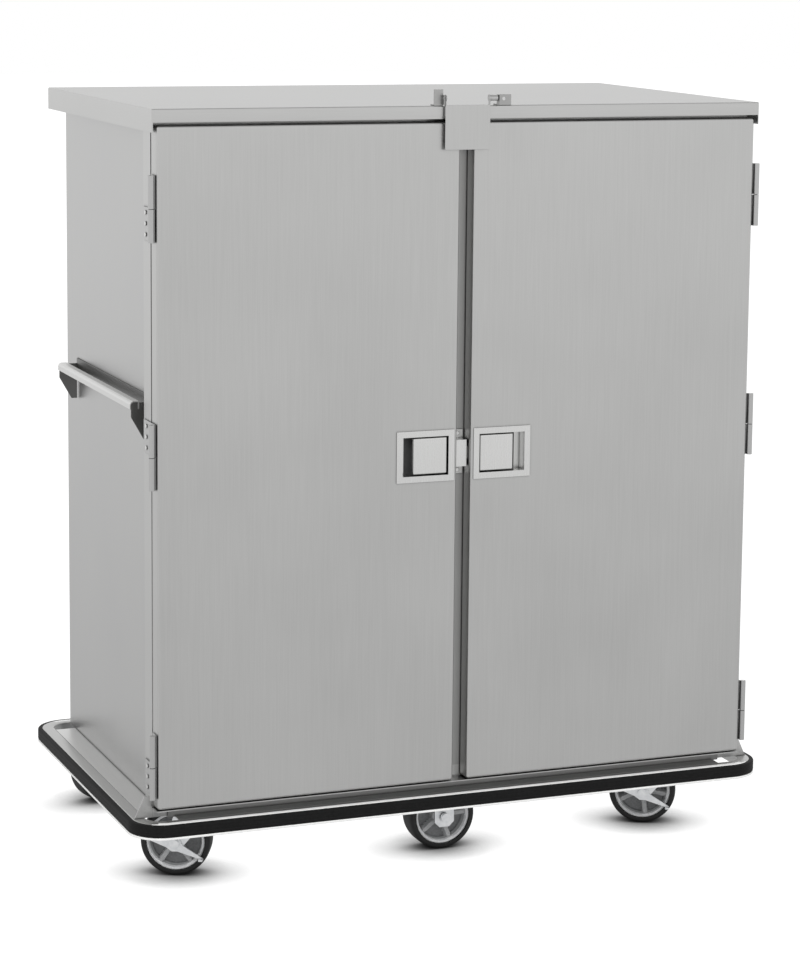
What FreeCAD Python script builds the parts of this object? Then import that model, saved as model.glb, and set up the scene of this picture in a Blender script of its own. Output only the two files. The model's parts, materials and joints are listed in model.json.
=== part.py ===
import FreeCAD, Part
import math
import os
import Sketcher

# Enclosed meal tray cart: a two-door sheet steel cabinet on a six-caster base with a bumper.
# Millimetres. X to the right, Y to the back, Z up; the origin is on the floor under the
# middle of the bumper. Heights are stacked up from the wheels, depths back from the bumper.

SIZES = [
    # casters
    ("wheel_diameter", 134.0), ("tyre_thick", 11.3), ("tread_wide", 54.0),
    ("rim_wide", 45.0), ("rim_thick", 6.0), ("web_thick", 8.0), ("spoke_wide", 9.0),
    ("spoke_deep", 36.0), ("hub_diameter", 36.0), ("hub_wide", 56.0), ("spoke_count", 5),
    ("axle_diameter", 12.0), ("axle_nut_diameter", 19.0), ("axle_nut_thick", 7.0),
    ("running_clearance", 0.05), ("wheel_clearance", 3.0), ("hub_side_gap", 1.2),
    ("fork_sheet", 4.5), ("fork_crown_half", 31.0), ("fork_hub_radius", 15.0),
    ("fork_knee", 59.5), ("trail", 41.0), ("swivel_gap", 0.3), ("kingpin_diameter", 16.0),
    ("raceway_diameter", 66.0), ("raceway_tall", 10.7), ("plate_edge", 12.0),
    ("plate_thick", 4.5), ("plate_bolt_pitch", 74.0), ("bolt_diameter", 8.0),
    ("bolt_head_wide", 14.0), ("bolt_head_tall", 5.0), ("rigid_leg_wide", 40.0),
    ("rigid_leg_chamfer", 10.0), ("front_yaw", -25.0), ("rear_yaw", 15.0),
    ("caster_front_inset", 25.5), ("caster_back_inset", 31.0), ("caster_side_inset", 32.7),
    ("pedal_thick", 3.0), ("pedal_reach", 54.0), ("pedal_eye_diameter", 32.0),
    ("pedal_side_gap", 0.3), ("pedal_tread_deep", 9.0),
    # base and bumper
    ("deck_drop", 16.4), ("deck_sheet", 2.5), ("side_deck_wide", 41.5), ("rear_deck_wide", 4.0),
    ("front_web_setback", 33.0), ("front_corner_cut", 14.7), ("slot_front", 30.1),
    ("slot_back", 42.2), ("bumper_lead", 27.5), ("bumper_corner", 66.0), ("bumper_tall", 25.6),
    ("bumper_nose", 10.7), ("bumper_foot", 7.0), ("bumper_groove", 1.6),
    ("bumper_groove_tall", 2.4), ("channel_sheet", 2.0), ("channel_flange", 21.7),
    ("gusset_tall", 41.0), ("gusset_top", 15.5), ("gusset_foot", 34.5),
    # cabinet
    ("sheet", 1.5), ("cabinet_deep", 728.7), ("panel_recess", 27.3), ("post_wide", 55.0),
    ("post_deep", 45.5), ("header_tall", 55.0), ("rail_tall", 22.0), ("mullion_wide", 60.0),
    ("sill_sheet", 2.0), ("sill_setback", 3.0), ("cover_side_gap", 8.0), ("cover_lead", 1.0),
    ("cover_back_lap", 4.7), ("cover_front_tall", 24.5), ("cover_side_tall", 42.3),
    # tray slides
    ("tier_count", 9), ("tier_pitch", 133.0), ("first_tier", 60.0), ("ledge_wide", 35.0),
    ("ledge_back_tall", 16.0), ("upright_deep", 8.0), ("upright_wide", 24.0),
    ("slide_end_gap", 14.0), ("upright_end_gap", 55.0),
    # doors and hinges
    ("door_wide", 585.2), ("door_tall", 1259.0), ("door_thick", 33.0), ("centre_gap", 28.0),
    ("seal_gap", 2.5), ("gasket_thick", 2.2), ("gasket_wide", 13.0), ("gasket_inset", 3.0),
    ("post_reveal", 0.8), ("door_foot_gap", 2.0), ("door_head_gap", 6.0),
    ("hinge_tall", 121.0), ("knuckle_diameter", 11.0), ("pin_diameter", 5.6),
    ("knuckle_gap", 3.0),
    ("hinge_sheet", 2.5), ("hinge_axis_deep", 4.0), ("hinge_leaf_deep", 71.0),
    ("door_leaf_deep", 24.0), ("hinge_split", 1.0), ("hinge_top_drop", 148.5),
    ("hinge_middle_drop", 599.5), ("hinge_foot_rise", 81.5), ("hinge_screw_pitch", 20.0),
    ("hinge_screw_deep", 52.0), ("screw_diameter", 4.0),
    ("screw_head_diameter", 8.0), ("screw_head_tall", 2.2), ("screw_long", 12.0),
    # latches
    ("latch_rise", 633.5), ("latch_inset", 17.5), ("latch_opening_wide", 92.5),
    ("latch_opening_tall", 74.0), ("latch_deep", 24.0), ("latch_border", 11.8),
    ("latch_flange", 1.5), ("paddle_wide", 68.0), ("paddle_gap", 2.0), ("paddle_front", 1.0),
    ("paddle_lip", 8.0), ("paddle_pin_diameter", 5.0), ("paddle_pin_in", 6.0),
    ("paddle_pin_deep", 5.5), ("bolt_tall", 24.0), ("bolt_thick", 11.0), ("bolt_long", 12.0),
    ("bolt_deep", 16.0), ("bolt_reach", 2.7), ("bolt_side_gap", 0.3),
    ("strike_wide", 21.0), ("strike_tall", 51.0), ("strike_stand", 21.5),
    ("strike_plate_tall", 84.0), ("strike_plate_wide", 22.0), ("strike_plate_thick", 2.0),
    ("strike_slot_tall", 30.0), ("strike_wall", 3.0), ("strike_screw_pitch", 70.0),
    # transport flap
    ("flap_left", 48.7), ("flap_right", 41.0), ("flap_drop", 81.4), ("flap_sheet", 2.0),
    ("flap_standoff", 7.0), ("flap_axis_up", 14.0), ("flap_eye_diameter", 13.0),
    ("flap_lift", 1.6), ("ear_gap", 1.7), ("ear_sheet", 2.0), ("ear_left_wide", 18.0),
    ("ear_left_tall", 30.0), ("ear_right_wide", 28.6), ("ear_right_tall", 20.0),
    ("ear_foot_deep", 18.0), ("barrel_long", 15.0), ("barrel_diameter", 11.0),
    ("flap_pin_diameter", 5.0), ("padlock_hole_diameter", 7.0),
    # push handles
    ("handle_start", 47.0), ("handle_long", 521.0), ("handle_out", 41.0), ("handle_rise", 748.5),
    ("handle_bar_wide", 18.0), ("handle_lip_tall", 15.0), ("handle_sheet", 2.5),
    ("handle_back_tall", 30.0), ("handle_back_rise", 8.0), ("handle_gusset_tall", 81.0),
    ("handle_gusset_foot", 14.0), ("handle_lip_radius", 6.0),
]


class Size:
    """A length: the expression that gives it from the sheet, and its value now."""

    def __init__(self, text, number):
        self.text = text
        self.number = number

    def join(self, other, sign, number):
        return Size("(%s %s %s)" % (self.text, sign, other.text), number)

    def __add__(self, other):
        other = known(other)
        return self.join(other, "+", self.number + other.number)

    def __sub__(self, other):
        other = known(other)
        return self.join(other, "-", self.number - other.number)

    def __mul__(self, other):
        other = known(other)
        return self.join(other, "*", self.number * other.number)

    def __truediv__(self, other):
        other = known(other)
        return self.join(other, "/", self.number / other.number)

    def __neg__(self):
        return known(-1.0) * self


def known(value):
    return value if isinstance(value, Size) else Size(repr(float(value)), float(value))


doc = FreeCAD.newDocument("MealTrayCart")
sheet_object = doc.addObject("Spreadsheet::Sheet", "dim")
for row, (alias, value) in enumerate(SIZES, start=1):
    sheet_object.set("A%d" % row, alias)
    sheet_object.set("B%d" % row, str(value))
    sheet_object.setAlias("B%d" % row, alias)
doc.recompute()


class Sheet:
    """The sheet's sizes by name."""


d = Sheet()
for alias, _ in SIZES:
    setattr(d, alias, Size("dim." + alias, float(sheet_object.get(alias))))

nodes = []
ZERO = known(0.0)
ALONG_X = FreeCAD.Rotation(FreeCAD.Vector(0, 1, 0), 90)
ALONG_Y = FreeCAD.Rotation(FreeCAD.Vector(1, 0, 0), -90)
ALONG_Z = FreeCAD.Rotation()


def bind(item, path, size):
    item.setExpression(path, known(size).text)


def place(item, at, rotation=ALONG_Z):
    item.Placement = FreeCAD.Placement(FreeCAD.Vector(*[known(c).number for c in at]), rotation)
    for axis, coordinate in zip("xyz", at):
        bind(item, "Placement.Base." + axis, coordinate)
    return item


def box(low, high):
    """A block between two opposite corners."""
    item = doc.addObject("Part::Box", "block")
    for path, start, end in zip(("Length", "Width", "Height"), low, high):
        bind(item, path, known(end) - start)
    return place(item, low)


def rod(start, rotation, diameter, length):
    item = doc.addObject("Part::Cylinder", "rod")
    bind(item, "Radius", known(diameter) / 2)
    bind(item, "Height", length)
    return place(item, start, rotation)


def hexagon(start, rotation, across, length):
    """A hexagon head, by its width across flats."""
    item = doc.addObject("Part::Prism", "hexagon")
    item.Polygon = 6
    bind(item, "Circumradius", known(across) / math.sqrt(3))
    bind(item, "Height", length)
    return place(item, start, rotation)


def fuse(*items):
    item = doc.addObject("Part::MultiFuse", "joined")
    item.Shapes = list(items)
    item.Refine = True
    return item


def group(items):
    item = doc.addObject("Part::Compound", "group")
    item.Links = list(items)
    return item


def cut(base, *tools):
    item = doc.addObject("Part::Cut", "cut")
    item.Base = base
    item.Tool = tools[0] if len(tools) == 1 else group(tools)
    return item


def mirrored(source):
    """The same piece on the other side of the cart's middle plane."""
    item = doc.addObject("Part::Mirroring", "mirrored")
    item.Source = source
    item.Normal = FreeCAD.Vector(1, 0, 0)
    return item


def node(label, item):
    item.Label = label
    nodes.append(item)
    return item


def outline(body, role, offset, points):
    """A closed sketch whose every corner is held to the sheet's sizes."""
    sketch = body.newObject("Sketcher::SketchObject", "outline")
    plane = [f for f in body.Origin.OriginFeatures if f.Role == role][0]
    sketch.AttachmentSupport = (plane, "")
    sketch.MapMode = "FlatFace"
    bind(sketch, "AttachmentOffset.Base.z", offset)
    corners = [(known(x), known(y)) for x, y in points]
    ends = corners[1:] + corners[:1]
    for (x0, y0), (x1, y1) in zip(corners, ends):
        sketch.addGeometry(Part.LineSegment(FreeCAD.Vector(x0.number, y0.number, 0),
                                            FreeCAD.Vector(x1.number, y1.number, 0)), False)
    for index, corner in enumerate(corners):
        follower = (index + 1) % len(corners)
        sketch.addConstraint(Sketcher.Constraint("Coincident", index, 2, follower, 1))
        for kind, size in zip(("DistanceX", "DistanceY"), corner):
            held = sketch.addConstraint(Sketcher.Constraint(kind, -1, 1, index, 1, size.number))
            sketch.setExpression("Constraints[%d]" % held, size.text)
    return sketch


def prism(role, points, low, high):
    """A padded outline: role is the plane it is drawn in, low and high its span across it."""
    body = doc.addObject("PartDesign::Body", "profile")
    start = -known(high) if role == "XZ_Plane" else known(low)
    sketch = outline(body, role, start, points)
    pad = body.newObject("PartDesign::Pad", "pad")
    pad.Profile = sketch
    bind(pad, "Length", known(high) - low)
    body.Tip = pad
    return body


def turned(points, height):
    """A revolved outline of (radius, across) corners about a line along Y at a height."""
    body = doc.addObject("PartDesign::Body", "turned")
    sketch = outline(body, "XY_Plane", height, points)
    spin = body.newObject("PartDesign::Revolution", "revolution")
    spin.Profile = sketch
    spin.ReferenceAxis = (sketch, ["V_Axis"])
    spin.Angle = 360
    body.Tip = spin
    return body


# Heights, from the floor up.
hub_up = d.wheel_diameter / 2
crown_low = d.wheel_diameter + d.wheel_clearance
crown_top = crown_low + d.fork_sheet
raceway_low = crown_top + d.swivel_gap
plate_low = raceway_low + d.raceway_tall
pan_low = plate_low + d.plate_thick
pan_top = pan_low + d.sheet
deck_top = pan_low - d.deck_drop
deck_low = deck_top - d.deck_sheet
bumper_low = deck_top - d.bumper_tall
sill_top = pan_top + d.sill_sheet
rail_top = sill_top + d.rail_tall
door_low = sill_top + d.door_foot_gap
door_top = door_low + d.door_tall
cover_low = door_top + d.door_head_gap
cover_top = cover_low + d.cover_front_tall
body_top = cover_top - d.sheet
header_low = body_top - d.header_tall

# Depths, from the bumper back. The origin is halfway.
bumper_half_deep = (d.bumper_lead + d.cabinet_deep + d.rear_deck_wide
                    + d.channel_flange + d.bumper_nose) / 2
door_face = d.bumper_lead - bumper_half_deep
door_back = door_face + d.door_thick
frame_front = door_back + d.seal_gap
frame_back = frame_front + d.post_deep
cabinet_back = door_face + d.cabinet_deep
inner_back = cabinet_back - d.sheet
web_front = door_face + d.front_web_setback

# Widths, from the middle out.
door_inner = d.centre_gap / 2
door_outer = door_inner + d.door_wide
post_outer = door_outer + d.post_reveal
post_inner = post_outer - d.post_wide
panel_outer = post_outer - d.panel_recess
panel_inner = panel_outer - d.sheet
cover_half = post_outer + d.cover_side_gap
rim_inner = panel_outer + d.side_deck_wide
rim_outer = rim_inner + d.channel_flange
bumper_half_wide = rim_outer + d.bumper_nose

# Hinge line, on the outer side of each door's front edge.
hinge_x = post_outer + d.knuckle_gap + d.knuckle_diameter / 2
hinge_y = door_face + d.hinge_axis_deep

# Caster places.
plate_wide = d.plate_bolt_pitch + d.plate_edge * 2
kingpin_x = panel_inner - d.sheet - d.caster_side_inset - plate_wide / 2
kingpin_front = web_front + d.sheet + d.caster_front_inset + plate_wide / 2
kingpin_back = inner_back - d.sheet - d.caster_back_inset - plate_wide / 2


def shell(low, high, walls, open_side):
    """A folded pan: a block hollowed by its sheet, open on one side ('-z', '+y' and so on)."""
    axis = "xyz".index(open_side[1])
    inner_low = [known(c) + walls for c in low]
    inner_high = [known(c) - walls for c in high]
    if open_side[0] == "-":
        inner_low[axis] = known(low[axis]) - walls
    else:
        inner_high[axis] = known(high[axis]) + walls
    return cut(box(low, high), box(inner_low, inner_high))


def tube(low, high, walls, axis):
    """A square tube that runs along one axis, open at both ends."""
    inner_low = [known(c) + walls for c in low]
    inner_high = [known(c) - walls for c in high]
    inner_low[axis] = known(low[axis]) - walls
    inner_high[axis] = known(high[axis]) + walls
    return cut(box(low, high), box(inner_low, inner_high))


def rounded_slab(inset, low, high):
    """The bumper's plan drawn in by an inset, as a slab with round corners."""
    half_x = (bumper_half_wide - inset).number
    half_y = (bumper_half_deep - inset).number
    radius = max((d.bumper_corner - inset).number, d.channel_sheet.number)
    edges = []
    for sign_x, sign_y, start in ((1, 1, 0), (-1, 1, 90), (-1, -1, 180), (1, -1, 270)):
        centre = FreeCAD.Vector(sign_x * (half_x - radius), sign_y * (half_y - radius), low.number)
        circle = Part.Circle(centre, FreeCAD.Vector(0, 0, 1), radius)
        edges.append(Part.Arc(circle, math.radians(start), math.radians(start + 90)).toShape())
    sides = []
    for edge, follower in zip(edges, edges[1:] + edges[:1]):
        sides += [edge, Part.makeLine(edge.Vertexes[-1].Point, follower.Vertexes[0].Point)]
    face = Part.Face(Part.Wire(sides))
    return face.extrude(FreeCAD.Vector(0, 0, (high - low).number))


def ring(outer_inset, inner_inset, low, high):
    return rounded_slab(outer_inset, low, high).cut(rounded_slab(inner_inset, low, high))


def make_bumper():
    """A metal channel open to the outside, and the ribbed strip pressed into it."""
    channel = doc.addObject("Part::Feature", "channel")
    web = d.bumper_nose + d.bumper_foot
    top = ring(d.bumper_nose, d.bumper_nose + d.channel_flange, deck_top - d.channel_sheet,
               deck_top)
    wall = ring(web, web + d.channel_sheet, bumper_low, deck_top - d.channel_sheet)
    lip = ring(ZERO, web + d.channel_sheet, bumper_low - d.channel_sheet, bumper_low)
    channel.Shape = top.fuse([wall, lip]).removeSplitter()
    node("bumper_channel", channel)
    strip = doc.addObject("Part::Feature", "strip")
    band = ring(ZERO, d.bumper_nose, bumper_low, deck_top)
    foot = ring(d.bumper_nose, web, bumper_low, deck_top - d.channel_sheet)
    solid = band.fuse(foot)
    for third in (1, 2):
        middle = bumper_low + d.bumper_tall * third / 3
        groove = ring(-d.bumper_groove, d.bumper_groove, middle - d.bumper_groove_tall / 2,
                      middle + d.bumper_groove_tall / 2)
        solid = solid.cut(groove)
    strip.Shape = solid.removeSplitter()
    node("bumper_strip", strip)


def make_base():
    """The pan under the cabinet, the decks round it and the gussets at the front corners."""
    pan = shell((-panel_inner, web_front, deck_low), (panel_inner, inner_back, pan_top),
                d.sheet, "-z")
    holes = [rod((x, y, pan_low), ALONG_Z, d.bolt_diameter, d.sheet)
             for x, y in bolt_places()]
    node("base_pan", cut(pan, *holes))
    slot_start = frame_front + d.slot_front
    slot_end = cabinet_back - d.slot_back
    side = box((panel_outer, slot_start, deck_low), (rim_inner, slot_end, deck_top))
    node("side_decks", group([side, mirrored(side)]))
    rim_front = -bumper_half_deep + d.bumper_nose + d.channel_flange
    rim_back = -rim_front
    front_half = panel_outer - d.front_corner_cut
    front = box((-front_half, rim_front, deck_low), (front_half, web_front, deck_top))
    rear = box((-front_half, cabinet_back, deck_low), (front_half, rim_back, deck_top))
    node("end_decks", group([front, rear]))
    foot = post_outer + d.gusset_foot
    gusset = prism("XZ_Plane", [(post_outer, deck_top), (foot, deck_top),
                                (post_outer + d.gusset_top, deck_top + d.gusset_tall),
                                (post_outer, deck_top + d.gusset_tall)],
                   frame_front, frame_front + d.channel_sheet)
    node("corner_gussets", group([gusset, mirrored(gusset)]))


def hinge_levels():
    """(height of the middle, side of the cabinet half: -1 below or 1 above) for each hinge."""
    return [(door_top - d.hinge_top_drop, -1), (door_top - d.hinge_middle_drop, 1),
            (door_low + d.hinge_foot_rise, -1)]


def hinge_screw_places():
    """(y, z) of the screws of one side's cabinet halves."""
    places = []
    for middle, side in hinge_levels():
        centre = middle + d.hinge_tall * (side / 4)
        for step in (-1, 0, 1):
            places.append((hinge_y + d.hinge_screw_deep, centre + d.hinge_screw_pitch * step))
    return places


def make_cabinet():
    side = box((panel_inner, frame_back, deck_low), (panel_outer, cabinet_back, body_top))
    node("side_panel_right", side)
    node("side_panel_left", mirrored(side))
    node("back_panel", box((-panel_inner, inner_back, deck_low),
                           (panel_inner, cabinet_back, body_top)))
    post = tube((post_inner, frame_front, sill_top), (post_outer, frame_back, body_top),
                d.sheet, 2)
    foot_side = box((post_outer - d.sheet, frame_front, deck_top),
                    (post_outer, frame_back, pan_top))
    foot_front = box((panel_inner, frame_front, deck_top),
                     (post_outer, frame_front + d.sheet, pan_top))
    shanks = [rod((post_outer - d.screw_long, y, z), ALONG_X, d.screw_diameter, d.screw_long)
              for y, z in hinge_screw_places()]
    right = cut(fuse(post, foot_side, foot_front), *shanks)
    header = tube((-post_inner, frame_front, header_low), (post_inner, frame_back, body_top),
                  d.sheet, 0)
    rail = tube((-post_inner, frame_front, sill_top), (post_inner, frame_back, rail_top),
                d.sheet, 0)
    sill = box((-post_outer, door_face + d.sill_setback, pan_top),
               (post_outer, frame_back, sill_top))
    node("front_frame", fuse(right, mirrored(right), header, rail, sill))
    half = d.mullion_wide / 2
    mullion = tube((-half, frame_front, rail_top), (half, frame_back, header_low), d.sheet, 2)
    screws = [rod((ZERO, frame_front, z), ALONG_Y, d.screw_diameter, d.sheet)
              for z in strike_screw_heights()]
    node("centre_post", cut(mullion, *screws))
    node("centre_partition", box((-d.sheet / 2, frame_back, pan_top),
                                 (d.sheet / 2, inner_back, body_top)))
    top = box((-cover_half, door_face - d.cover_lead, body_top),
              (cover_half, cabinet_back + d.cover_back_lap, cover_top))
    fascia = box((-cover_half, door_face - d.cover_lead, cover_low),
                 (cover_half, door_face - d.cover_lead + d.sheet, body_top))
    rear = box((-cover_half, cabinet_back + d.cover_back_lap - d.sheet, cover_low),
               (cover_half, cabinet_back + d.cover_back_lap, body_top))
    skirt = box((cover_half - d.sheet, door_face - d.cover_lead, cover_top - d.cover_side_tall),
                (cover_half, cabinet_back + d.cover_back_lap, body_top))
    node("top_cover", fuse(top, fascia, rear, skirt, mirrored(skirt)))


def tray_wall(face, way):
    """Ledges on two uprights against a wall face; way is +1 where the bay is to the right."""
    start = frame_back + d.slide_end_gap
    end = inner_back - d.slide_end_gap
    pieces = []
    front = face + d.upright_deep * way
    tip = front + d.ledge_wide * way
    back_leg = front + d.sheet * way
    first = pan_top + d.first_tier
    top = first + d.tier_pitch * (d.tier_count - 1) + d.ledge_back_tall * 2

    def between(a, b):
        return (a, b) if way > 0 else (b, a)

    for y in (start + d.upright_end_gap, end - d.upright_end_gap - d.upright_wide):
        x0, x1 = between(face, front)
        pieces.append(box((x0, y, pan_top), (x1, y + d.upright_wide, top)))
    for tier in range(int(d.tier_count.number)):
        level = first + d.tier_pitch * tier
        x0, x1 = between(front, tip)
        pieces.append(box((x0, start, level), (x1, end, level + d.sheet)))
        x0, x1 = between(front, back_leg)
        pieces.append(box((x0, start, level), (x1, end, level + d.ledge_back_tall)))
    return fuse(*pieces)


def make_tray_slides():
    outer = tray_wall(-panel_inner, 1)
    inner = tray_wall(-d.sheet / 2, -1)
    left = group([outer, inner])
    node("tray_slides_left", left)
    node("tray_slides_right", mirrored(left))


def make_handle():
    """A folded bar held off the side panel by a bracket: a back strip with two end plates."""
    start = frame_back + d.handle_start
    end = start + d.handle_long
    top = pan_top + d.handle_rise
    outer = -(panel_outer + d.handle_out)
    back = box((-panel_outer - d.handle_sheet, start, top + d.handle_back_rise - d.handle_back_tall),
               (-panel_outer, end, top + d.handle_back_rise))
    bar_inner = outer + d.handle_bar_wide
    bend = d.handle_lip_radius
    lip = d.handle_lip_tall
    wall = d.handle_sheet
    bar = prism("XZ_Plane", [(outer, top - lip), (outer, top - bend),
                             (outer + bend / 3, top - bend / 3), (outer + bend, top),
                             (bar_inner, top), (bar_inner, top - lip),
                             (bar_inner - wall, top - lip), (bar_inner - wall, top - wall),
                             (outer + bend, top - wall),
                             (outer + wall, top - bend), (outer + wall, top - lip)],
                start, end)
    foot = top + d.handle_back_rise - d.handle_gusset_tall
    profile = [(-panel_outer - wall, foot), (-panel_outer - d.handle_gusset_foot, foot),
               (outer + wall, top - lip * 2), (outer + wall, top - bend),
               (outer + bend, top - wall), (bar_inner - wall, top - wall),
               (bar_inner - wall, top - lip), (bar_inner, top - lip),
               (bar_inner, top - wall), (-panel_outer - wall, top - wall)]
    near = prism("XZ_Plane", profile, start, start + wall)
    far = prism("XZ_Plane", profile, end - wall, end)
    node("push_handle_left", bar)
    node("push_handle_right", mirrored(bar))
    bracket = fuse(back, near, far)
    node("handle_brackets", group([bracket, mirrored(bracket)]))


def hinge_half(middle, side, fixed):
    """One half of a lift-off hinge on the right side: side is +1 for the upper half."""
    half = (d.hinge_tall - d.hinge_split) / 2
    low = middle + (d.hinge_split / 2 if side > 0 else -d.hinge_split / 2 - half)
    bore = d.pin_diameter + (ZERO if fixed else d.running_clearance * 2)
    knuckle = rod((hinge_x, hinge_y, low), ALONG_Z, d.knuckle_diameter, half)
    seat, deep = (post_outer, d.hinge_leaf_deep) if fixed else (door_outer, d.door_leaf_deep)
    back = hinge_y + d.knuckle_diameter / 2
    step = box((seat, back - d.hinge_sheet, low), (hinge_x, back, low + half))
    leaf = box((seat, back - d.hinge_sheet, low), (seat + d.hinge_sheet, hinge_y + deep, low + half))
    return cut(fuse(knuckle, step, leaf), rod((hinge_x, hinge_y, low), ALONG_Z, bore, half))


def make_hinges():
    shanks = [rod((post_outer, y, z), ALONG_X, d.screw_diameter, d.hinge_sheet)
              for y, z in hinge_screw_places()]
    fixed = cut(group([hinge_half(z, side, True) for z, side in hinge_levels()]), *shanks)
    node("hinge_cabinet_leaves", group([fixed, mirrored(fixed)]))
    moving = group([hinge_half(z, -side, False) for z, side in hinge_levels()])
    node("hinge_door_leaves_right", moving)
    node("hinge_door_leaves_left", mirrored(moving))
    pins = group([rod((hinge_x, hinge_y, z - d.hinge_tall / 2), ALONG_Z, d.pin_diameter,
                      d.hinge_tall) for z, _ in hinge_levels()])
    node("hinge_pins", group([pins, mirrored(pins)]))


def strike_screw_heights():
    middle = door_low + d.latch_rise
    return [middle - d.strike_screw_pitch / 2, middle + d.strike_screw_pitch / 2]


def make_screws():
    """Screws of the hinges and of the strike: a low head on a plain shank."""
    right = []
    for y, z in hinge_screw_places():
        seat = post_outer + d.hinge_sheet
        head = rod((seat, y, z), ALONG_X, d.screw_head_diameter, d.screw_head_tall)
        shank = rod((post_outer - d.screw_long, y, z), ALONG_X, d.screw_diameter,
                    d.screw_long + d.hinge_sheet)
        right.append(fuse(head, shank))
    side = group(right)
    middle = []
    seat = frame_front - d.strike_plate_thick
    for z in strike_screw_heights():
        head = rod((ZERO, seat - d.screw_head_tall, z), ALONG_Y, d.screw_head_diameter,
                   d.screw_head_tall)
        shank = rod((ZERO, seat, z), ALONG_Y, d.screw_diameter, d.screw_long)
        middle.append(fuse(head, shank))
    node("screws", group([side, mirrored(side)] + middle))


def make_door():
    """The right door's fixed pieces; the left door mirrors them."""
    low = (door_inner, door_face, door_low)
    back_of_pan = door_back - d.sheet
    latch_in = door_inner + d.latch_inset
    latch_out = latch_in + d.latch_opening_wide
    latch_middle = door_low + d.latch_rise
    half_tall = d.latch_opening_tall / 2
    wall = d.sheet
    pan = shell(low, (door_outer, back_of_pan, door_top), wall, "+y")
    pocket = box((latch_in - wall, door_face, latch_middle - half_tall - wall),
                 (latch_out + wall, door_face + wall, latch_middle + half_tall + wall))
    bolt_near = door_face + d.bolt_deep - d.bolt_side_gap
    bolt_far = door_face + d.bolt_deep + d.bolt_thick + d.bolt_side_gap
    bolt_half = d.bolt_tall / 2 + d.bolt_side_gap
    window = box((door_inner, bolt_near, latch_middle - bolt_half),
                 (door_inner + wall, bolt_far, latch_middle + bolt_half))
    right = cut(pan, pocket, window)
    node("door_shell_right", right)
    node("door_shell_left", mirrored(right))
    liner = box((door_inner, back_of_pan, door_low), (door_outer, door_back, door_top))
    node("door_liner_right", liner)
    node("door_liner_left", mirrored(liner))
    edge = d.gasket_inset
    strip = edge + d.gasket_wide
    seal_back = door_back + d.gasket_thick
    gasket = cut(box((door_inner + edge, door_back, door_low + edge),
                     (door_outer - edge, seal_back, door_top - edge)),
                 box((door_inner + strip, door_back, door_low + strip),
                     (door_outer - strip, seal_back, door_top - strip)))
    node("door_gasket_right", gasket)
    node("door_gasket_left", mirrored(gasket))
    border = d.latch_border
    flange = box((latch_in - border, door_face - d.latch_flange,
                  latch_middle - half_tall - border),
                 (latch_out + border, door_face, latch_middle + half_tall + border))
    cup = box((latch_in - wall, door_face, latch_middle - half_tall - wall),
              (latch_out + wall, door_face + d.latch_deep + wall,
               latch_middle + half_tall + wall))
    hollow = box((latch_in, door_face - d.latch_flange, latch_middle - half_tall),
                 (latch_out, door_face + d.latch_deep, latch_middle + half_tall))
    pin_x = latch_in + d.paddle_gap + d.paddle_pin_in
    pin_y = door_face + d.paddle_pin_deep
    pin_low = latch_middle - half_tall - wall
    bore = rod((pin_x, pin_y, pin_low), ALONG_Z,
               d.paddle_pin_diameter + d.running_clearance * 2, half_tall * 2 + wall * 2)
    housing = cut(fuse(flange, cup), hollow, bore)
    node("latch_housing_right", housing)
    node("latch_housing_left", mirrored(housing))
    inner = latch_in + d.paddle_gap
    outer = inner + d.paddle_wide
    front = door_face + d.paddle_front
    lip = front + d.paddle_lip
    top = latch_middle + half_tall - d.paddle_gap / 2
    bottom = latch_middle - half_tall + d.paddle_gap / 2
    plate = box((inner, front, bottom), (outer, front + wall, top))
    edges = [box((outer - wall, front, bottom), (outer, lip, top)),
             box((inner, front, top - wall), (outer, lip, top)),
             box((inner, front, bottom), (outer, lip, bottom + wall))]
    pin = rod((pin_x, pin_y, pin_low), ALONG_Z, d.paddle_pin_diameter,
              half_tall * 2 + wall * 2)
    paddle = fuse(plate, pin, *edges)
    node("latch_paddle_right", paddle)
    node("latch_paddle_left", mirrored(paddle))
    tip = door_inner - d.bolt_reach
    bolt = box((tip, door_face + d.bolt_deep, latch_middle - d.bolt_tall / 2),
               (tip + d.bolt_long, door_face + d.bolt_deep + d.bolt_thick,
                latch_middle + d.bolt_tall / 2))
    node("latch_bolt_right", bolt)
    node("latch_bolt_left", mirrored(bolt))


def make_strike():
    """A block on a plate on the centre post, with a slot through it for both bolts."""
    middle = door_low + d.latch_rise
    half = d.strike_wide / 2
    plate_half = d.strike_plate_wide / 2
    plate_front = frame_front - d.strike_plate_thick
    plate = box((-plate_half, plate_front, middle - d.strike_plate_tall / 2),
                (plate_half, frame_front, middle + d.strike_plate_tall / 2))
    front = plate_front - d.strike_stand
    block = box((-half, front, middle - d.strike_tall / 2),
                (half, plate_front, middle + d.strike_tall / 2))
    slot = box((-half, front + d.strike_wall, middle - d.strike_slot_tall / 2),
               (half, plate_front, middle + d.strike_slot_tall / 2))
    holes = [rod((ZERO, plate_front, z), ALONG_Y, d.screw_diameter, d.strike_plate_thick)
             for z in strike_screw_heights()]
    node("latch_strike", cut(fuse(plate, block), slot, *holes))


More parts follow.
